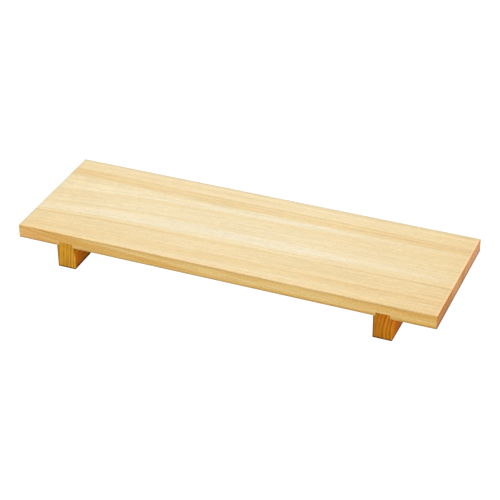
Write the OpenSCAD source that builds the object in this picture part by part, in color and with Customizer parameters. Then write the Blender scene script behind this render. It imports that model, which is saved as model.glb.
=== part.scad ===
// Serving board in the form of a low wooden stand: one flat plank housed over two cross feet.
// The origin is midway between the feet, on the surface that they stand on.
// X runs along the plank, Y from its front edge to its back edge, Z up.

/* [Board] */
// Length of the plank, along its grain
board_length = 450; // [300:10:900]
// Width of the plank, from front edge to back edge
board_width = 150; // [100:5:300]
// Thickness of the plank
board_thickness = 15; // [13:0.5:30]
// Radius that the plank's edges and corners are eased to
board_easing = 1; // [0.5:0.1:3]

/* [Feet] */
// Height of the feet below the plank
foot_height = 25.5; // [22:0.5:60]
// Width of each foot, along the plank
foot_width = 20.5; // [16:0.5:40]
// Overhang of the plank's end beyond the outer side of its foot
foot_inset = 43.5; // [10:0.5:90]
// Radius that the feet's upright and bottom edges are eased to
foot_easing = 1.4; // [0.4:0.1:1.8]

/* [Housing joint] */
// Depth of the housing that crosses the plank's underside over each foot
housing_depth = 4.5; // [2:0.5:6]
// Shoulder beside the tongue, on the side of the foot that faces the plank's end
outer_shoulder = 3.4; // [1.9:0.1:4]
// Shoulder beside the tongue, on the side of the foot that faces the other foot
inner_shoulder = 2.7; // [1.9:0.1:5]
// Gap between the tongue and each wall of its housing
tongue_side_gap = 0.1; // [0.05:0.05:0.3]
// Gap between the top of the tongue and the roof of its housing
tongue_top_gap = 0.2; // [0.1:0.05:0.5]

/* [Screws] */
// Distance from the front and back ends of a foot to its screws
screw_inset = 30; // [15:1:45]
// Length of a screw, from the face of its head to its tip
screw_length = 30; // [20:1:32]
// Depth that a screw reaches into the plank above the housing
screw_bite = 6.5; // [4:0.5:8]
// Diameter of the screw head
head_diameter = 7.5; // [6:0.1:8]
// Thickness of the rim round the screw head
head_rim = 0.4; // [0.2:0.1:0.8]
// Diameter of the smooth shank under the head
shank_diameter = 3; // [2.8:0.1:3.6]
// Diameter over the threads
thread_diameter = 3.8; // [3.7:0.1:4.6]
// Diameter at the root of the threads
root_diameter = 2.6; // [2.2:0.1:2.8]
// Distance from one turn of thread to the next
thread_pitch = 1.8; // [1.4:0.1:2.4]
// Length of the pointed end
tip_length = 4; // [2:0.5:5]
// Length of each wing of the cross recess, from the middle of the head
recess_reach = 2.3; // [1.8:0.1:2.6]
// Width of the wings of the cross recess
recess_slot = 1; // [0.7:0.1:1.3]
// Depth of the cross recess
recess_depth = 1.8; // [1:0.1:2]
// Gap all round the head in the hole that sinks it into the sole
counterbore_gap = 0.5; // [0.3:0.1:1]
// Gap all round the threads where they pass through the foot
clearance_gap = 0.2; // [0.1:0.05:0.4]
// Gap all round the threads in the plank
pilot_gap = 0.05; // [0.02:0.01:0.1]
// Room left beyond the tip of the screw
pilot_spare = 0.5; // [0.2:0.1:1]

/* [Hidden] */
$fn = 64;

// Length by which cuts run past the surface that they open
overrun = 1;

// Middle of each foot, measured along the plank
foot_place = board_length / 2 - foot_inset - foot_width / 2;
// Middle of each pair of screws, measured across the plank
screw_place = board_width / 2 - screw_inset;

tongue_width = foot_width - outer_shoulder - inner_shoulder;
// How far the tongue sits from the middle of its foot towards the plank's end, below zero if it sits inwards
tongue_offset = (inner_shoulder - outer_shoulder) / 2;
tongue_height = housing_depth - tongue_top_gap;
housing_width = tongue_width + 2 * tongue_side_gap;
housing_roof = foot_height + housing_depth;

// The head is a cone of 90 degrees, so it is as deep as it draws in
head_cone = (head_diameter - shank_diameter) / 2;
tip_top = housing_roof + screw_bite;
screw_base = tip_top - screw_length;
counterbore_top = screw_base + head_rim;
counterbore_diameter = head_diameter + 2 * counterbore_gap;
clearance_diameter = thread_diameter + 2 * clearance_gap;
clearance_cone = (head_diameter - clearance_diameter) / 2;
pilot_diameter = thread_diameter + 2 * pilot_gap;

// Share of the screw that carries thread, and the shares of the pitch that a turn takes up
threaded_share = 0.6;
turn_root_share = 0.5;
turn_crest_share = 0.1;
// Half length of a recess wing at its floor, as a share of its length at the face
recess_floor_share = 0.35;
thread_turns = round(screw_length * threaded_share / thread_pitch);
thread_start = screw_length - thread_turns * thread_pitch;

// Flat rectangle with round corners, centred
module eased_rectangle(across, along, radius) {
    square([across - 2 * radius, along], center = true);
    square([across, along - 2 * radius], center = true);
    for (side = [-1, 1], end = [-1, 1])
        translate([side * (across / 2 - radius), end * (along / 2 - radius)])
            circle(r = radius);
}

// Block with every edge round, centred over the origin and standing on it
module eased_block(length_x, length_y, length_z, radius) {
    intersection() {
        translate([0, 0, -overrun])
            linear_extrude(length_z + 2 * overrun)
                eased_rectangle(length_x, length_y, radius);
        translate([0, length_y / 2 + overrun, length_z / 2])
            rotate([90, 0, 0])
                linear_extrude(length_y + 2 * overrun)
                    eased_rectangle(length_x, length_z, radius);
        translate([-length_x / 2 - overrun, 0, length_z / 2])
            rotate([90, 0, 90])
                linear_extrude(length_x + 2 * overrun)
                    eased_rectangle(length_y, length_z, radius);
    }
}

// The same foot stands at both ends, turned round so that its outer side faces out
module at_each_foot() {
    translate([-foot_place, 0, 0]) children();
    translate([foot_place, 0, 0]) rotate([0, 0, 180]) children();
}

module at_each_screw() {
    for (end = [-1, 1])
        translate([0, end * screw_place, 0]) children();
}

// Slot across the underside of the plank, open at both edges
module housing_cut() {
    translate([-tongue_offset - housing_width / 2, -board_width / 2 - overrun, foot_height - overrun])
        cube([housing_width, board_width + 2 * overrun, housing_depth + overrun]);
}

// Blind hole in the plank for the point of a screw
module pilot_cut() {
    translate([0, 0, foot_height])
        cylinder(h = tip_top + pilot_spare - foot_height, d = pilot_diameter);
}

module board() {
    color([0.94, 0.86, 0.68])
    difference() {
        translate([0, 0, foot_height])
            eased_block(board_length, board_width, board_thickness, board_easing);
        at_each_foot() {
            housing_cut();
            at_each_screw() pilot_cut();
        }
    }
}

// Counterbore, seat for the head and clearance hole, from the sole up
module screw_cut() {
    translate([0, 0, -overrun])
        cylinder(h = counterbore_top + overrun, d = counterbore_diameter);
    translate([0, 0, counterbore_top])
        cylinder(h = clearance_cone, d1 = head_diameter, d2 = clearance_diameter);
    cylinder(h = housing_roof + overrun, d = clearance_diameter);
}

// Foot with its outer side towards -X: a bar with a tongue along its top
module foot() {
    difference() {
        union() {
            intersection() {
                eased_block(foot_width, board_width, foot_height + foot_easing + overrun, foot_easing);
                translate([-foot_width, -board_width, -overrun])
                    cube([2 * foot_width, 2 * board_width, foot_height + overrun]);
            }
            translate([-tongue_offset - tongue_width / 2, -board_width / 2, foot_height - foot_easing])
                cube([tongue_width, board_width, tongue_height + foot_easing]);
        }
        at_each_screw() screw_cut();
    }
}

module left_foot() {
    color([0.79, 0.57, 0.2])
        translate([-foot_place, 0, 0]) foot();
}

module right_foot() {
    color([0.75, 0.49, 0.14])
        translate([foot_place, 0, 0]) rotate([0, 0, 180]) foot();
}

// Radius of a surface on the threaded part, which narrows to nothing along the tip
function tapered(radius, height) = min(radius, radius * (screw_length - height) / tip_length);

// Section of one turn of thread that starts at the given height
function turn_section(start) = [
    for (step = [
        [root_diameter, 0],
        [thread_diameter, (turn_root_share - turn_crest_share) / 2],
        [thread_diameter, (turn_root_share + turn_crest_share) / 2],
        [root_diameter, turn_root_share]
    ])
        let (height = start + step[1] * thread_pitch)
            [tapered(step[0] / 2, height), height]
];

// Countersunk screw, head down at its base and point up
module screw() {
    color([0.78, 0.78, 0.8])
    difference() {
        rotate_extrude()
            polygon([
                [0, 0],
                [head_diameter / 2, 0],
                [head_diameter / 2, head_rim],
                [shank_diameter / 2, head_rim + head_cone],
                [shank_diameter / 2, thread_start - thread_pitch * turn_root_share],
                for (turn = [0 : thread_turns - 1]) each turn_section(thread_start + turn * thread_pitch),
                [0, screw_length]
            ]);
        for (turn = [0, 90])
            rotate([90, 0, turn])
                linear_extrude(recess_slot, center = true)
                    polygon([
                        [-recess_reach, -overrun],
                        [recess_reach, -overrun],
                        [recess_reach, 0],
                        [recess_reach * recess_floor_share, recess_depth],
                        [-recess_reach * recess_floor_share, recess_depth],
                        [-recess_reach, 0]
                    ]);
    }
}

// A screw driven up through the sole of the foot on the given side, at the given end of it
module placed_screw(side, end) {
    translate([side * foot_place, end * screw_place, screw_base])
        screw();
}

module left_front_screw() { placed_screw(-1, -1); }

module left_rear_screw() { placed_screw(-1, 1); }

module right_front_screw() { placed_screw(1, -1); }

module right_rear_screw() { placed_screw(1, 1); }

board();
left_foot();
right_foot();
left_front_screw();
left_rear_screw();
right_front_screw();
right_rear_screw();
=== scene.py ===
# Looks of a low serving board: a pale softwood plank on two darker cross feet, screwed from below
import math

import bpy
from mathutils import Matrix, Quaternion, Vector


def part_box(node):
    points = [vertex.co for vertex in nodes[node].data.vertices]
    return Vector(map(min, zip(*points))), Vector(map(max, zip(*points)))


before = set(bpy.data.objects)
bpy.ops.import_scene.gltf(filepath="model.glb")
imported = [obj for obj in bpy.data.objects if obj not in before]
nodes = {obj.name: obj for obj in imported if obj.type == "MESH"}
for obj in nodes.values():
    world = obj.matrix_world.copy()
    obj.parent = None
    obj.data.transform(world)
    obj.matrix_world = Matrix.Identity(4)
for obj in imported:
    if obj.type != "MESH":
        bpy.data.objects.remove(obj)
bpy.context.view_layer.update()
scene = bpy.context.scene

MM = 0.001
WHITE = (1.0, 1.0, 1.0, 1.0)

# The plank, measured from the frame
board_low, board_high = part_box("board")
board_length = board_high.x - board_low.x
board_width = board_high.y - board_low.y
board_thickness = board_high.z - board_low.z

# Camera: where it stands, which way it looks and its lens
CAMERA_PLACE = Vector((0.5532, -1.314, 0.9185))
CAMERA_AZIMUTH = math.radians(22.74)
CAMERA_ELEVATION = math.radians(32.27)
CAMERA_ROLL = math.radians(-0.49)
CAMERA_LENS = 117.9
CAMERA_SENSOR = 36.0
CAMERA_NEAR = 0.01

# Light: an even surround, and a broad soft sun with its direction, width and strength
SURROUND_LEVEL = 0.66
SUN_FROM = Vector((0.25, -0.5, 1.0))
SUN_WIDTH = math.radians(70.0)
SUN_STRENGTH = 1.27
# Floor: its size, level and colour, and a white glow that only the eye sees, with the share that it takes
FLOOR_SIZE = 30.0
FLOOR_LEVEL = -0.05 * MM
FLOOR_TONE = (0.7, 0.7, 0.7, 1.0)
FLOOR_GLOW = 1.15
FLOOR_GLOW_SHARE = 0.93

# Main grain lines of the plank, in shares of its width from the back edge: the place of each, and what the
# full flare at the left end and the full pinch at the right end add to it
GRAIN_LINES = [
    (0.0, 0.0, 0.01), (0.077, -0.008, 0.013), (0.135, -0.012, 0.013), (0.215, -0.011, 0.009),
    (0.24, 0.0, 0.002), (0.264, 0.165, -0.006), (0.31, 0.156, -0.016), (0.472, 0.15, -0.016),
    (0.625, 0.1, -0.008), (0.686, 0.083, -0.018), (0.85, 0.06, -0.014), (0.942, 0.045, -0.012),
    (1.0, 0.03, 0.0),
]
# Share of the length in which the flare falls to about a third, and how the pinch grows along the length
FLARE_LENGTH = 0.3
PINCH = [(0.0, 0.0), (0.55, 0.0), (0.71, 0.35), (0.88, 0.8), (0.96, 1.0)]
# Centre of the growth rings, in widths from the back edge and above the top face
PITH_ACROSS = 1.5
PITH_HEIGHT = 0.6

# Bands of the plank, on the scale of the places of its grain lines: tone from 0, darkest, to 1, palest
BANDS = [
    (0.0, 0.42), (0.02, 0.42), (0.048, 0.85), (0.077, 0.48), (0.1, 0.57), (0.131, 0.76), (0.162, 0.1),
    (0.181, 0.44), (0.204, 0.04), (0.218, 0.36), (0.231, 0.08), (0.243, 0.66), (0.264, 1.0), (0.284, 0.7),
    (0.31, 0.52), (0.345, 0.66), (0.41, 0.66), (0.442, 0.84), (0.472, 0.5), (0.5, 0.74), (0.545, 0.92),
    (0.617, 1.0), (0.637, 0.5), (0.655, 0.87), (0.686, 0.16), (0.722, 0.5), (0.795, 0.46), (0.818, 0.48),
    (0.85, 0.26), (0.9, 0.32), (0.942, 0.62), (0.966, 0.42),
]
# How far the tone falls near the left end, and the share by which it fades along the length towards one tone
# near each end, with that tone
TONE_FALL = [(0.0, 0.18), (0.1, 0.08), (0.26, 0.0), (1.0, 0.0)]
FADES = [
    ([(0.0, 0.18), (0.25, 0.17), (0.42, 0.0), (1.0, 0.0)], 0.45),
    ([(0.0, 0.0), (0.66, 0.0), (0.8, 0.2), (0.88, 0.3), (0.96, 0.45), (1.0, 0.6)], -0.12),
]
# The dark streak near the back edge: where it lies on the scale of the bands, and its tone along the length,
# even at 0.5
BACK_STREAK_PLACE = [(0.0, 0.0), (0.138, 0.0), (0.155, 1.0), (0.208, 1.0), (0.22, 0.0)]
BACK_STREAK = [
    (0.0, 0.4), (0.06, 0.33), (0.2, 0.36), (0.32, 0.48), (0.5, 0.57), (0.7, 0.62), (0.8, 0.6), (0.9, 0.56),
]
# Colours of the tones from 0 to 1
PLANK_TONES = [
    (0.0, (0.785, 0.565, 0.283)), (0.12, (0.826, 0.622, 0.331)), (0.3, (0.856, 0.672, 0.376)),
    (0.55, (0.879, 0.712, 0.431)), (0.8, (0.899, 0.762, 0.5)), (1.0, (0.914, 0.805, 0.573)),
]
# How far the orange tint comes in, on the scale of the bands, and the tint itself
WARMTH = [
    (0.0, 0.2), (0.03, 0.2), (0.048, 0.9), (0.077, 0.2), (0.1, 0.3), (0.131, 0.7), (0.162, 0.7),
    (0.181, 0.3), (0.204, 0.7), (0.225, 0.2), (0.243, 0.1), (0.35, 0.3), (0.5, 0.0), (0.62, 0.0),
    (0.655, 0.6), (0.69, 0.2), (0.8, 0.3), (0.86, 0.8), (0.9, 0.5), (0.94, 0.3), (0.97, 1.0), (1.0, 0.9),
]
WARM_TINT = (1.03, 1.0, 0.94, 1.0)

# Fine patterns of the plank: how fast each changes along the plank, across the grain and down through it,
# then its detail and its roughness, where they aren't the usual ones
WAVER = (6.6, 3.0, 3.0), 1.0
CROWDING = (1.5, 9.0, 0.0)
STREAKS = (2.0, 40.0, 1.0), 3.0, 0.6
THIN_LINES = (3.5, 85.0, 1.0), 3.0, 0.7
FIBRES = (40.0, 240.0, 240.0), 3.0, 0.6
FLECKS = (16.0, 100.0, 1.0)
MOTTLE = (60.0, 28.0, 1.0), 1.0
# On the long edges the grain runs down the edge, and the last rate is the one across the plank
EDGE_STREAKS = (5.0, 60.0, 1.0), 4.0, 0.65
EDGE_THIN_LINES = (14.0, 220.0, 1.0)
# Specks change at the same rate all ways
SPECKS = 560.0, 1.0
# How far the waver moves the grain lines and the crowding the fine growth rings
WAVER_REACH = 0.007
CROWDING_REACH = 0.09
# What the other patterns add to a tone or a shade, on the top face, the long edges and the ends
STREAK_CONTRAST = 1.1
THIN_LINE_CONTRAST = 0.34
FLECK_CONTRAST = 0.18
FIBRE_CONTRAST = 0.3
MOTTLE_CONTRAST = 0.08
SPECK_CONTRAST = 0.22
EDGE_STREAK_CONTRAST = 1.3
EDGE_THIN_LINE_CONTRAST = 0.56
EDGE_SPECK_CONTRAST = 0.5
END_STREAK_CONTRAST = 2.1
END_FIBRE_CONTRAST = 1.1
# Fine growth rings in the width of the plank, and the latewood line from the start of a ring to its end.
# Its mean and its contrast on the top face, and on the ends the tone of the earlywood and how far the
# latewood falls below it.
FINE_RINGS = 58.0
LATEWOOD_LINE = [(0.0, 0.0), (0.08, 1.0), (0.5, 0.25), (1.0, 0.0)]
LATEWOOD_MEAN = 0.3
LATEWOOD_CONTRAST = 0.035
END_EARLYWOOD = 0.8
END_LATEWOOD_CONTRAST = 0.6
# Pin knots: share of the length from the left end, share of the width from the back edge, and radius. Their
# colour, how far it covers the middle of a knot, and the share of the radius that the middle takes up.
PIN_KNOTS = [(0.782, 0.358, 1.1 * MM), (0.338, 0.94, 0.8 * MM)]
KNOT_TONE = (0.5, 0.34, 0.17, 1.0)
KNOT_COVER = 0.55
KNOT_MIDDLE = 0.3

# Long edges: their tones from golden to pale, and how pale they are along the length
EDGE_TONES = [
    (0.0, (0.7, 0.37, 0.065)), (0.35, (0.785, 0.46, 0.12)), (0.65, (0.84, 0.56, 0.195)),
    (1.0, (0.9, 0.665, 0.3)),
]
EDGE_PALENESS = [
    (0.0, 0.44), (0.12, 0.37), (0.3, 0.5), (0.42, 0.55), (0.55, 0.62), (0.75, 0.59), (0.9, 0.46),
    (1.0, 0.33),
]
# The dip of their grain lines at the left end, in widths, the share of the length in which it falls to about
# a third, and the bands across those lines, even at 0.5
EDGE_DIP = 0.112
EDGE_DIP_LENGTH = 0.25
EDGE_BANDS = [
    (0.0, 0.47), (0.06, 0.44), (0.12, 0.5), (0.2, 0.58), (0.25, 0.6), (0.32, 0.76), (0.37, 0.56),
    (0.425, 0.4), (0.465, 0.4), (0.5, 0.5), (0.54, 0.5), (0.585, 0.38), (0.64, 0.55), (0.69, 0.6),
    (0.75, 0.5), (0.82, 0.6), (0.89, 0.48), (0.95, 0.38), (1.0, 0.42),
]
# A tint near the left end, and the shares of the length between which it dies away
EDGE_LEFT_TINT = (1.03, 0.97, 1.03, 1.0)
EDGE_LEFT_TINT_PLACE = 0.05, 0.16

# End grain: its tones from the latewood lines to the earlywood between them, and from back to front its
# patches, even at 0.5, and its shades
END_TONES = [(0.0, (0.53, 0.215, 0.055)), (0.5, (0.73, 0.33, 0.117)), (1.0, (0.845, 0.425, 0.185))]
END_PATCHES = [
    (0.0, 0.5), (0.05, 0.55), (0.12, 0.75), (0.18, 0.52), (0.28, 0.78), (0.34, 0.65), (0.43, 0.2),
    (0.48, 0.5), (0.56, 0.8), (0.62, 0.88), (0.66, 0.7), (0.69, 0.3), (0.78, 0.36), (0.87, 0.25),
    (0.92, 0.4), (1.0, 0.55),
]
END_SHADES = [
    (0.0, (1.0, 0.98, 1.13)), (0.5, (0.95, 0.93, 0.76)), (0.62, (0.94, 0.88, 0.72)),
    (0.71, (0.9, 0.81, 0.47)), (0.83, (0.9, 0.77, 0.43)), (1.0, (0.88, 0.7, 0.28)),
]

# Painted shades and highlights along the plank's arrises: each has its tint, the distance up to which it is
# full, and the distance at which it ends. Here the top face's: painted shade by the back and left, highlight
# by the right.
BACK_EDGE_PAINTED_SHADE = (0.88, 0.95, 1.07, 1.0), 2.5 * MM, 5.0 * MM
LEFT_END_PAINTED_SHADE = (0.9, 0.965, 1.08, 1.0), 2.0 * MM, 4.5 * MM
RIGHT_END_PAINTED_HIGHLIGHT = (1.12, 1.08, 1.08, 1.0), 1.2 * MM, 3.2 * MM
# The painted highlight by the front side changes its tint along the length
FRONT_EDGE_PAINTED_HIGHLIGHTS = [
    (0.1, (1.06, 0.97, 0.8)), (0.35, (1.06, 1.03, 1.06)), (0.75, (1.05, 1.03, 1.05)),
    (0.95, (1.02, 0.98, 0.96)),
]
FRONT_EDGE_HIGHLIGHT_REACH = 2.6 * MM, 5.2 * MM
# Painted shade round the upper front arris, below all the upper arrises, and above the lower ones clear of
# the feet
UPPER_ARRIS_PAINTED_SHADE = (0.9, 0.95, 1.06, 1.0), 1.0 * MM, 2.0 * MM
UPPER_PAINTED_SHADE = (0.9, 0.9, 0.93, 1.0), 1.4 * MM, 3.0 * MM
LOWER_PAINTED_SHADE = (0.75, 0.75, 0.72, 1.0), 1.6 * MM, 3.2 * MM
# Painted shade above the lower arris of the ends, with its tint at the back corner and at the front one
END_PAINTED_SHADE_BACK = (0.66, 0.72, 0.74, 1.0)
END_PAINTED_SHADE_FRONT = (0.54, 0.54, 0.5, 1.0)
END_PAINTED_SHADE_REACH = 3.0 * MM, 6.0 * MM
# Painted shade on the lower arrises themselves
LOWER_ARRIS_PAINTED_SHADE = (0.66, 0.58, 0.5, 1.0)
# How far past the right side of a foot the lower painted shades are full again, and how far to either side
# of its left side they take to end
PAST_FOOT = 12.0 * MM
BEFORE_FOOT = 1.0 * MM

# How far the surface faces along an axis, from 1 for along it to -1 for against it, where one face of the
# plank starts to show and where it shows fully: an edge or an end, the top face, and the lower arrises
SIDE_FACING = 0.3, 0.7
TOP_FACING = 0.3, 0.8
LOWER_ARRIS_FACING = -0.15, -0.6

# Feet: colours of the earlywood and the latewood, tints of the sides and of the upper part of the ends,
# growth rings from the left side of the foot to its right one, from 0 for latewood to 1 for earlywood, how
# far they lean and bow over its height, and the strength of the painted shadow at its top
LEFT_FOOT = dict(
    early=(0.82, 0.415, 0.037, 1.0),
    late=(0.42, 0.16, 0.009, 1.0),
    side_tint=(1.15, 0.72, 0.38, 1.0),
    upper_tint=WHITE,
    rings=[
        (0.0, 0.35), (0.1, 0.3), (0.17, 0.95), (0.23, 0.65), (0.29, 0.7), (0.345, 0.25), (0.41, 0.65),
        (0.46, 0.7), (0.53, 0.45), (0.6, 0.5), (0.64, 0.45), (0.69, 0.95), (0.745, 0.0), (0.8, 0.7),
        (0.85, 1.0), (0.91, 0.35), (0.965, 0.95), (1.0, 0.6),
    ],
    lean=-0.07,
    bow=-0.1,
    painted_top_shadow=1.0,
)
RIGHT_FOOT = dict(
    early=(0.71, 0.267, 0.013, 1.0),
    late=(0.36, 0.12, 0.006, 1.0),
    side_tint=(1.45, 1.1, 0.42, 1.0),
    upper_tint=(1.0, 0.91, 1.0, 1.0),
    rings=[
        (0.0, 0.5), (0.09, 0.65), (0.15, 0.2), (0.22, 0.75), (0.3, 0.35), (0.36, 0.5), (0.43, 0.7),
        (0.49, 0.05), (0.55, 0.6), (0.61, 1.0), (0.65, 0.85), (0.69, 0.0), (0.73, 0.5), (0.78, 0.95),
        (0.83, 0.5), (0.87, 0.1), (0.91, 0.65), (0.95, 0.85), (1.0, 0.55),
    ],
    lean=0.0,
    bow=-0.36,
    painted_top_shadow=0.0,
)
# Share of the height about which the rings bow, and the shares between which the tint of the upper part and
# the painted shadow on the right upright arrises come in
BOW_HEIGHT = 0.3
UPPER_TINT_PLACE = 0.3, 0.75
PAINTED_SHADOW_PLACE = 0.4, 0.8
# Fine patterns of the feet: how fast each changes across the foot or its rings, along the foot and over its
# height, then its detail and its roughness, where they aren't the usual ones
FOOT_WAVER = (2.0, 12.0, 2.0)
FOOT_PATCHES = (3.52, 1.6, 2.24)
FOOT_FIBRES = (30.0, 40.0, 5.0), 3.0, 0.6
FOOT_STREAKS = (13.0, 25.0, 1.6), 2.0, 0.7
# How far the waver moves the rings, and what the others add to the share of latewood
FOOT_WAVER_REACH = 0.06
FOOT_PATCH_CONTRAST = 0.7
FOOT_FIBRE_CONTRAST = 0.9
FOOT_STREAK_CONTRAST = 0.9
# Painted shades and highlights that follow the arrises of the feet, in the form of the plank's: painted
# shade on the left upright arrises and painted highlight on the right ones, painted shadow on the top of the
# right ones and on the sides below the plank, and painted shade round the bottom arrises and above these on
# the sides and on the ends
LEFT_ARRIS_PAINTED_SHADE = (0.36, 0.33, 0.4, 1.0), 0.8 * MM, 2.0 * MM
RIGHT_ARRIS_PAINTED_HIGHLIGHT = (1.12, 1.14, 1.6, 1.0), 0.4 * MM, 2.0 * MM
TOP_ARRIS_PAINTED_SHADOW = (0.5, 0.5, 0.55, 1.0), 0.3 * MM, 1.1 * MM
UNDER_PLANK_PAINTED_SHADOW = (0.66, 0.66, 0.68, 1.0), 1.0 * MM, 3.0 * MM
BOTTOM_ARRIS_PAINTED_SHADE = (0.34, 0.3, 0.33, 1.0), 1.0 * MM, 2.6 * MM
SIDE_BOTTOM_PAINTED_SHADE = (0.4, 0.42, 0.48, 1.0), 2.6 * MM, 6.0 * MM
END_BOTTOM_PAINTED_SHADE = (0.68, 0.66, 0.68, 1.0), 1.6 * MM, 3.4 * MM
# How far in from the ends of a foot the upright arrises keep their painted shade and highlight, and their
# painted shadow at the top
UPRIGHT_REACH = 0.5 * MM, 1.6 * MM
SHADED_TOP_REACH = 1.2 * MM, 2.8 * MM
# How far the surface faces along an axis where a side or an end of a foot starts to show and where it shows
# fully, and the same for what isn't its sole
FOOT_SIDE_FACING = 0.8, 0.98
FOOT_END_FACING = 0.5, 0.9
OFF_SOLE_FACING = -0.95, -0.75

# Gloss and relief of the woods: roughness, level of the highlight and strength of the relief, with the
# weight of the plank's latewood in it, and the depth of both reliefs
PLANK_ROUGHNESS = 0.6
PLANK_HIGHLIGHT = 0.15
PLANK_RELIEF = 0.3
PLANK_LATEWOOD_RELIEF = 0.5
FOOT_ROUGHNESS = 0.65
FOOT_HIGHLIGHT = 0.04
FOOT_RELIEF = 0.25
RELIEF_DEPTH = 0.1 * MM

# Screws: colour of the steel, how fast its scuffs change and their detail, the values of that pattern
# between which it goes from polished to scuffed, and the roughness of both
STEEL_TONE = (0.6, 0.59, 0.57, 1.0)
SCUFFS = 900.0, 3.0
SCUFF_SPREAD = 0.3, 0.7
STEEL_ROUGHNESS = 0.25, 0.42


class Finish:
    """One material, with a short call for each kind of node that the finishes share."""

    def __init__(self, name):
        self.material = bpy.data.materials.new(name)
        self.material.use_nodes = True
        self.tree = self.material.node_tree
        self.shader = self.tree.nodes["Principled BSDF"]
        place = self.tree.nodes.new("ShaderNodeTexCoord")
        self.position = place.outputs["Object"]
        self.facing = place.outputs["Normal"]

    def add(self, kind, *sources, **settings):
        made = self.tree.nodes.new("ShaderNode" + kind)
        for name, value in settings.items():
            setattr(made, name, value)
        for socket, source in zip(made.inputs, sources):
            self.feed(socket, source)
        return made

    def feed(self, socket, source):
        if isinstance(source, bpy.types.NodeSocket):
            self.tree.links.new(source, socket)
        elif source is not None:
            socket.default_value = source

    def math(self, operation, *sources):
        return self.add("Math", *sources, operation=operation).outputs[0]

    def share_of(self, length, start, end):
        """How far the end lies past the start, as a share of the length."""
        return self.math("DIVIDE", self.math("SUBTRACT", end, start), length)

    def swayed(self, value, *swings):
        """Adds patterns that are even at 0.5 to a value, each times its contrast."""
        for pattern, contrast in swings:
            value = self.math("MULTIPLY_ADD", self.math("SUBTRACT", pattern, 0.5), contrast, value)
        return value

    def map_range(self, value, low, high, start, end, smooth=False):
        kind = "SMOOTHSTEP" if smooth else "LINEAR"
        return self.add("MapRange", value, low, high, start, end, interpolation_type=kind).outputs[0]

    def smoothly(self, value, low, high, start=0.0, end=1.0):
        """Goes smoothly from the start to the end while the value goes from low to high."""
        return self.map_range(value, low, high, start, end, smooth=True)

    def split(self, vector):
        return self.add("SeparateXYZ", vector).outputs

    def noise(self, vector, scale, detail=2.0, roughness=0.5):
        return self.add("TexNoise", vector, None, scale, detail, roughness).outputs[0]

    def grain(self, places, rates, detail=2.0, roughness=0.5):
        """Noise that changes at a rate of its own along each of three directions."""
        drawn_out = [self.math("MULTIPLY", place, rate) for place, rate in zip(places, rates)]
        return self.noise(self.add("CombineXYZ", *drawn_out).outputs[0], 1.0, detail, roughness)

    def tinted(self, colour, tint, share=1.0):
        return self.mix(share, colour, tint, "MULTIPLY")

    def rim(self, colour, distance, tint, full, none, share=1.0):
        """Tints what lies near an arris: fully up to the first distance, and not at all from the second."""
        near = self.smoothly(distance, full, none, 1.0, 0.0)
        return self.tinted(colour, tint, self.math("MULTIPLY", near, share))

    def ramp(self, value, stops):
        made = self.add("ValToRGB", value)
        elements = made.color_ramp.elements
        while len(elements) < len(stops):
            elements.new(1.0)
        for element, (place, tone) in zip(elements, stops):
            element.position = place
            element.color = (*tone, 1.0) if isinstance(tone, tuple) else (tone, tone, tone, 1.0)
        return made.outputs[0]

    def mix(self, share, first, second, blend="MIX"):
        made = self.tree.nodes.new("ShaderNodeMix")
        made.data_type = "RGBA"
        made.blend_type = blend
        for name, source in (("Factor_Float", share), ("A_Color", first), ("B_Color", second)):
            self.feed(next(s for s in made.inputs if s.identifier == name), source)
        return next(s for s in made.outputs if s.identifier == "Result_Color")

    def bump(self, height, strength):
        made = self.add("Bump")
        made.inputs["Strength"].default_value = strength
        made.inputs["Distance"].default_value = RELIEF_DEPTH
        self.feed(made.inputs["Height"], height)
        self.feed(self.shader.inputs["Normal"], made.outputs[0])

    def dress(self, *names):
        """Puts this finish on CAD nodes."""
        for name in names:
            slots = nodes[name].material_slots
            if not slots:
                nodes[name].data.materials.append(self.material)
            for slot in slots:
                slot.material = self.material


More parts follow.
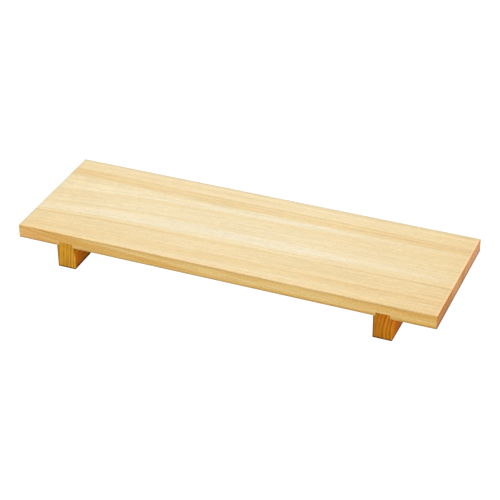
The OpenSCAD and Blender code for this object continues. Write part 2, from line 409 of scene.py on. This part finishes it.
class PlankWood(Finish):
    """Pale softwood laid out as solid wood, whose growth rings run along the plank and down through it."""

    def __init__(self):
        super().__init__("plank_wood")
        self.x, self.y, self.z = self.split(self.position)
        self.along = self.share_of(board_length, board_low.x, self.x)
        self.across = self.share_of(board_width, self.y, board_high.y)
        self.depth = self.share_of(board_width, self.z, board_high.z)
        self.surface = self.top_of_ring()
        self.ring = self.place_among_lines()

        # Patterns that more than one face shows
        self.in_wood = (self.along, self.ring, self.depth)
        self.streak = self.grain(self.in_wood, *STREAKS)
        self.fibre = self.grain(self.in_wood, *FIBRES)
        self.speck = self.noise(self.position, *SPECKS)
        self.latewood = self.latewood_lines()

        face_x, face_y, self.face_z = self.split(self.facing)
        self.on_end = self.smoothly(self.math("ABSOLUTE", face_x), *SIDE_FACING)
        on_edge = self.smoothly(self.math("ABSOLUTE", face_y), *SIDE_FACING)
        colour = self.mix(on_edge, self.with_knots(self.top_grain()), self.edge_grain())
        colour = self.mix(self.on_end, colour, self.end_grain())
        self.feed(self.shader.inputs["Base Color"], self.with_painted_arris_shading(colour))
        self.shader.inputs["Roughness"].default_value = PLANK_ROUGHNESS
        self.shader.inputs["Specular IOR Level"].default_value = PLANK_HIGHLIGHT
        relief = self.math("MULTIPLY_ADD", self.latewood, PLANK_LATEWOOD_RELIEF, self.fibre)
        self.bump(relief, PLANK_RELIEF)

    def top_of_ring(self):
        """Where the ring of a point meets the top face, as a share of the width from the back edge."""
        reach = self.math("SUBTRACT", PITH_ACROSS, self.across)
        height = self.math("ADD", PITH_HEIGHT, self.depth)
        radius_squared = self.math("ADD", self.math("POWER", reach, 2.0), self.math("POWER", height, 2.0))
        top_reach = self.math("SQRT", self.math("SUBTRACT", radius_squared, PITH_HEIGHT ** 2))
        surface = self.math("SUBTRACT", PITH_ACROSS, top_reach)
        waver = self.grain((self.along, surface, self.depth), *WAVER)
        return self.swayed(surface, (waver, WAVER_REACH))

    def place_among_lines(self):
        """The same place on the scale of the grain lines, which flare and draw in along the plank."""
        flare = self.math("EXPONENT", self.math("DIVIDE", self.along, -FLARE_LENGTH))
        pinch = self.ramp(self.along, PINCH)
        lines = [
            self.math("MULTIPLY_ADD", pinch, drawn_in, self.math("MULTIPLY_ADD", flare, spread, share))
            for share, spread, drawn_in in GRAIN_LINES
        ]
        shares = [share for share, spread, drawn_in in GRAIN_LINES]
        ring = shares[0]
        for share, next_share, low, high in zip(shares, shares[1:], lines, lines[1:]):
            step = self.map_range(self.surface, low, high, 0.0, next_share - share)
            ring = self.math("ADD", step, ring)
        return ring

    def latewood_lines(self):
        """From 0 in the earlywood of a fine growth ring to 1 at the darkest of its latewood."""
        crowding = self.grain(self.in_wood, CROWDING)
        place = self.math("MULTIPLY_ADD", crowding, CROWDING_REACH, self.ring)
        return self.ramp(self.math("FRACT", self.math("MULTIPLY", place, FINE_RINGS)), LATEWOOD_LINE)

    def top_grain(self):
        """Bands and streaks of the top face, with the fine patterns that shade them."""
        tone = self.math("SUBTRACT", self.ramp(self.ring, BANDS), self.ramp(self.along, TONE_FALL))
        back_streak = self.ramp(self.along, BACK_STREAK)
        tone = self.swayed(tone, (back_streak, self.ramp(self.ring, BACK_STREAK_PLACE)))
        for fade, faded_tone in FADES:
            fading = self.math("SUBTRACT", faded_tone, tone)
            tone = self.math("MULTIPLY_ADD", self.ramp(self.along, fade), fading, tone)
        tone = self.swayed(tone, (self.streak, STREAK_CONTRAST))
        colour = self.tinted(self.ramp(tone, PLANK_TONES), WARM_TINT, self.ramp(self.ring, WARMTH))

        shade = self.swayed(
            1.0,
            (self.grain(self.in_wood, *THIN_LINES), THIN_LINE_CONTRAST),
            (self.grain(self.in_wood, FLECKS), FLECK_CONTRAST),
            (self.fibre, FIBRE_CONTRAST),
            (self.grain((self.along, self.surface, self.depth), *MOTTLE), MOTTLE_CONTRAST),
            (self.speck, SPECK_CONTRAST),
        )
        paler = self.math("SUBTRACT", LATEWOOD_MEAN, self.latewood)
        return self.tinted(colour, self.math("MULTIPLY_ADD", paler, LATEWOOD_CONTRAST, shade))

    def with_knots(self, colour):
        knots = 0.0
        for along, across, radius in PIN_KNOTS:
            x = board_low.x + along * board_length
            y = board_high.y - across * board_width
            centre = (x, y, board_high.z)
            away = self.add("VectorMath", self.position, centre, operation="DISTANCE").outputs["Value"]
            knot = self.map_range(away, KNOT_MIDDLE * radius, radius, KNOT_COVER, 0.0)
            knots = self.math("MAXIMUM", knot, knots)
        return self.mix(knots, colour, KNOT_TONE)

    def edge_grain(self):
        """Grain of the long edges, whose lines dip at the left end."""
        dip = self.math("EXPONENT", self.math("DIVIDE", self.along, -EDGE_DIP_LENGTH))
        line = self.math("MULTIPLY_ADD", dip, EDGE_DIP, self.depth)
        band = self.ramp(self.math("DIVIDE", line, EDGE_DIP + board_thickness / board_width), EDGE_BANDS)
        on_face = (self.along, line, self.across)
        streak = self.grain(on_face, *EDGE_STREAKS)
        thin_line = self.grain(on_face, EDGE_THIN_LINES)
        paleness = self.ramp(self.along, EDGE_PALENESS)
        tone = self.swayed(paleness, (band, 1.0), (streak, EDGE_STREAK_CONTRAST))
        shade = self.swayed(1.0, (thin_line, EDGE_THIN_LINE_CONTRAST), (self.speck, EDGE_SPECK_CONTRAST))
        colour = self.tinted(self.ramp(tone, EDGE_TONES), shade)
        at_left = self.smoothly(self.along, *EDGE_LEFT_TINT_PLACE, 1.0, 0.0)
        return self.tinted(colour, EDGE_LEFT_TINT, at_left)

    def end_grain(self):
        """Grain of the ends, where the growth rings run down through the plank."""
        tone = self.math("MULTIPLY_ADD", self.latewood, -END_LATEWOOD_CONTRAST, END_EARLYWOOD)
        tone = self.swayed(
            tone,
            (self.fibre, END_FIBRE_CONTRAST),
            (self.streak, END_STREAK_CONTRAST),
            (self.ramp(self.across, END_PATCHES), 1.0),
        )
        return self.tinted(self.ramp(tone, END_TONES), self.ramp(self.across, END_SHADES))

    # Painted shades and highlights along the plank's arrises
    def with_painted_arris_shading(self, colour):
        on_top = self.smoothly(self.face_z, *TOP_FACING)
        from_back = self.math("SUBTRACT", board_high.y, self.y)
        from_front = self.math("SUBTRACT", self.y, board_low.y)
        from_left = self.math("SUBTRACT", self.x, board_low.x)
        from_right = self.math("SUBTRACT", board_high.x, self.x)
        # Painted shade by the back edge and the left end of the top face, painted highlight by the right end
        # and the front edge
        colour = self.rim(colour, from_back, *BACK_EDGE_PAINTED_SHADE, on_top)
        colour = self.rim(colour, from_left, *LEFT_END_PAINTED_SHADE, on_top)
        colour = self.rim(colour, from_right, *RIGHT_END_PAINTED_HIGHLIGHT, on_top)
        front_highlight = self.ramp(self.along, FRONT_EDGE_PAINTED_HIGHLIGHTS)
        colour = self.rim(colour, from_front, front_highlight, *FRONT_EDGE_HIGHLIGHT_REACH, on_top)

        # Painted shade round the upper front arris and below all the upper arrises
        below_top = self.math("SUBTRACT", board_high.z, self.z)
        upright = self.smoothly(self.math("ABSOLUTE", self.face_z), *TOP_FACING, 1.0, 0.0)
        colour = self.rim(colour, self.math("ADD", from_front, below_top), *UPPER_ARRIS_PAINTED_SHADE)
        colour = self.rim(colour, below_top, *UPPER_PAINTED_SHADE, upright)

        # Painted shade above the lower arrises clear of the feet and on the ends, and on the lower arrises
        # themselves
        above_bottom = self.math("SUBTRACT", self.z, board_low.z)
        clear_of_feet = self.math("MULTIPLY", upright, self.beside_feet())
        colour = self.rim(colour, above_bottom, *LOWER_PAINTED_SHADE, clear_of_feet)
        end_painted_shade = self.mix(self.across, END_PAINTED_SHADE_BACK, END_PAINTED_SHADE_FRONT)
        colour = self.rim(colour, above_bottom, end_painted_shade, *END_PAINTED_SHADE_REACH, self.on_end)
        on_lower_arris = self.smoothly(self.face_z, *LOWER_ARRIS_FACING)
        bare = self.math("MAXIMUM", clear_of_feet, self.on_end)
        return self.tinted(colour, LOWER_ARRIS_PAINTED_SHADE, self.math("MULTIPLY", on_lower_arris, bare))

    def beside_feet(self):
        """1 along the plank where no foot is near, and 0 over a foot."""
        clear = 1.0
        for foot in ("left_foot", "right_foot"):
            low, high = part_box(foot)
            before = self.map_range(self.x, low.x - BEFORE_FOOT, low.x + BEFORE_FOOT, 1.0, 0.0)
            after = self.map_range(self.x, high.x, high.x + PAST_FOOT, 0.0, 1.0)
            clear = self.math("MULTIPLY", clear, self.math("MAXIMUM", before, after))
        return clear


class FootWood(Finish):
    """Darker softwood, whose growth rings stand upright on the ends of the foot."""

    def __init__(self, foot, early, late, side_tint, upper_tint, rings, lean, bow, painted_top_shadow):
        super().__init__(foot + "_wood")
        self.low, self.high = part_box(foot)
        self.x, self.y, self.z = self.split(self.position)
        self.sideways = self.share_of(self.high.x - self.low.x, self.low.x, self.x)
        self.height = self.share_of(self.high.z - self.low.z, self.low.z, self.z)
        ring = self.place_among_rings(lean, bow)
        latewood = self.math("SUBTRACT", 1.0, self.ramp(ring, rings))

        # Patches, and fibres and streaks drawn out along the foot and down its ends
        in_wood = (ring, self.y, self.height)
        fibre = self.grain(in_wood, *FOOT_FIBRES)
        share = self.swayed(
            latewood,
            (fibre, FOOT_FIBRE_CONTRAST),
            (self.grain(in_wood, *FOOT_STREAKS), FOOT_STREAK_CONTRAST),
            (self.grain((self.sideways, self.y, self.height), FOOT_PATCHES), FOOT_PATCH_CONTRAST),
        )
        colour = self.mix(share, early, late)

        face_x, face_y, face_z = self.split(self.facing)
        self.on_side = self.smoothly(self.math("ABSOLUTE", face_x), *FOOT_SIDE_FACING)
        self.on_end = self.smoothly(self.math("ABSOLUTE", face_y), *FOOT_END_FACING)
        self.off_sole = self.smoothly(face_z, *OFF_SOLE_FACING)
        colour = self.tinted(colour, side_tint, self.on_side)
        off_side = self.math("SUBTRACT", 1.0, self.on_side)
        upper_part = self.smoothly(self.height, *UPPER_TINT_PLACE, 0.0, off_side)
        colour = self.tinted(colour, upper_tint, upper_part)
        colour = self.with_painted_upright_shading(colour, painted_top_shadow)
        self.feed(self.shader.inputs["Base Color"], self.with_painted_bottom_shades(colour))
        self.shader.inputs["Roughness"].default_value = FOOT_ROUGHNESS
        self.shader.inputs["Specular IOR Level"].default_value = FOOT_HIGHLIGHT
        self.bump(self.math("ADD", latewood, fibre), FOOT_RELIEF)

    def place_among_rings(self, lean, bow):
        """Where a point lies on the scale of the rings, which lean, bow and waver."""
        ring = self.swayed(self.sideways, (self.height, lean))
        bent = self.math("POWER", self.math("SUBTRACT", self.height, BOW_HEIGHT), 2.0)
        ring = self.math("MULTIPLY_ADD", bent, bow, ring)
        waver = self.grain((self.sideways, self.y, self.height), FOOT_WAVER)
        return self.swayed(ring, (waver, FOOT_WAVER_REACH))

    # Painted shade on the left upright arrises, painted highlight on the right ones, and painted shadow at
    # their top and on the sides below the plank
    def with_painted_upright_shading(self, colour, painted_top_shadow):
        from_end = self.math("SUBTRACT", self.high.y, self.math("ABSOLUTE", self.y))
        from_left = self.math("SUBTRACT", self.x, self.low.x)
        from_right = self.math("SUBTRACT", self.high.x, self.x)
        near_end = self.smoothly(from_end, *UPRIGHT_REACH, 1.0, 0.0)
        shaded = self.smoothly(self.height, *PAINTED_SHADOW_PLACE, 0.0, painted_top_shadow)
        lit_end = self.math("MULTIPLY", near_end, self.math("SUBTRACT", 1.0, shaded))
        shaded_end = self.smoothly(from_end, *SHADED_TOP_REACH, shaded, 0.0)
        colour = self.rim(colour, from_left, *LEFT_ARRIS_PAINTED_SHADE, near_end)
        colour = self.rim(colour, from_right, *RIGHT_ARRIS_PAINTED_HIGHLIGHT, lit_end)
        colour = self.rim(colour, from_right, *TOP_ARRIS_PAINTED_SHADOW, shaded_end)
        below_plank = self.math("SUBTRACT", board_low.z, self.z)
        return self.rim(colour, below_plank, *UNDER_PLANK_PAINTED_SHADOW, self.math("MULTIPLY", self.on_side, painted_top_shadow))

    # Painted shade round the bottom arrises and above them on the sides and the ends
    def with_painted_bottom_shades(self, colour):
        above_sole = self.math("SUBTRACT", self.z, self.low.z)
        colour = self.rim(colour, above_sole, *BOTTOM_ARRIS_PAINTED_SHADE, self.off_sole)
        on_upright_side = self.math("MULTIPLY", self.on_side, self.off_sole)
        colour = self.rim(colour, above_sole, *SIDE_BOTTOM_PAINTED_SHADE, on_upright_side)
        return self.rim(colour, above_sole, *END_BOTTOM_PAINTED_SHADE, self.on_end)


class ScrewSteel(Finish):
    """Satin steel with fine scuffs."""

    def __init__(self):
        super().__init__("screw_steel")
        self.shader.inputs["Base Color"].default_value = STEEL_TONE
        self.shader.inputs["Metallic"].default_value = 1.0
        scuff = self.noise(self.position, *SCUFFS)
        roughness = self.map_range(scuff, *SCUFF_SPREAD, *STEEL_ROUGHNESS)
        self.feed(self.shader.inputs["Roughness"], roughness)


PlankWood().dress("board")
FootWood("left_foot", **LEFT_FOOT).dress("left_foot")
FootWood("right_foot", **RIGHT_FOOT).dress("right_foot")
ScrewSteel().dress("left_front_screw", "left_rear_screw", "right_front_screw", "right_rear_screw")


def seen_by_eye(tree):
    """1 for rays straight from the camera, or by way of a gloss or glass, and 0 for the light's own rays."""
    path = tree.nodes.new("ShaderNodeLightPath")
    seen = path.outputs["Is Camera Ray"]
    for kind in ("Is Glossy Ray", "Is Transmission Ray"):
        either = tree.nodes.new("ShaderNodeMath")
        either.operation = "MAXIMUM"
        tree.links.new(seen, either.inputs[0])
        tree.links.new(path.outputs[kind], either.inputs[1])
        seen = either.outputs[0]
    return seen


def studio_floor():
    bpy.ops.mesh.primitive_plane_add(size=FLOOR_SIZE, location=(0.0, 0.0, FLOOR_LEVEL))
    floor = bpy.context.object
    floor.name = "studio_floor"
    finish = Finish("studio_floor")
    finish.shader.inputs["Base Color"].default_value = FLOOR_TONE
    finish.shader.inputs["Roughness"].default_value = 1.0
    finish.shader.inputs["Specular IOR Level"].default_value = 0.0
    glow = finish.add("Emission", WHITE, FLOOR_GLOW)
    eye = seen_by_eye(finish.tree)
    share = finish.math("MULTIPLY", eye, FLOOR_GLOW_SHARE)
    lit = finish.add("MixShader", share, finish.shader.outputs[0], glow.outputs[0])
    # Seen from below, the floor is clear, so that the underside of the board shows
    below = finish.math("MULTIPLY", eye, finish.add("NewGeometry").outputs["Backfacing"])
    clear = finish.add("BsdfTransparent")
    shown = finish.add("MixShader", below, lit.outputs[0], clear.outputs[0])
    finish.tree.links.new(shown.outputs[0], finish.tree.nodes["Material Output"].inputs["Surface"])
    floor.data.materials.append(finish.material)


def surround():
    """Even light from all round, which the eye sees as white."""
    world = bpy.data.worlds.new("surround")
    world.use_nodes = True
    scene.world = world
    tree = world.node_tree
    level = tree.nodes.new("ShaderNodeMapRange")
    tree.links.new(seen_by_eye(tree), level.inputs[0])
    level.inputs["To Min"].default_value = SURROUND_LEVEL
    level.inputs["To Max"].default_value = 1.0
    tree.links.new(level.outputs[0], tree.nodes["Background"].inputs["Strength"])
    tree.nodes["Background"].inputs["Color"].default_value = WHITE


def aim(thing, towards):
    thing.rotation_mode = "QUATERNION"
    thing.rotation_quaternion = towards.to_track_quat("-Z", "Y")


def soft_sun():
    light = bpy.data.lights.new("soft_sun", "SUN")
    light.angle = SUN_WIDTH
    light.energy = SUN_STRENGTH
    sun = bpy.data.objects.new("soft_sun", light)
    aim(sun, -SUN_FROM)
    scene.collection.objects.link(sun)


def camera():
    view = bpy.data.cameras.new("camera")
    view.lens = CAMERA_LENS
    view.sensor_width = CAMERA_SENSOR
    view.clip_start = CAMERA_NEAR
    seen_from = bpy.data.objects.new("camera", view)
    seen_from.location = CAMERA_PLACE
    back = Vector((
        math.sin(CAMERA_AZIMUTH) * math.cos(CAMERA_ELEVATION),
        -math.cos(CAMERA_AZIMUTH) * math.cos(CAMERA_ELEVATION),
        math.sin(CAMERA_ELEVATION),
    ))
    aim(seen_from, -back)
    seen_from.rotation_quaternion = seen_from.rotation_quaternion @ Quaternion((0.0, 0.0, 1.0), CAMERA_ROLL)
    scene.collection.objects.link(seen_from)
    scene.camera = seen_from


studio_floor()
surround()
soft_sun()
camera()
scene.view_settings.view_transform = "Standard"
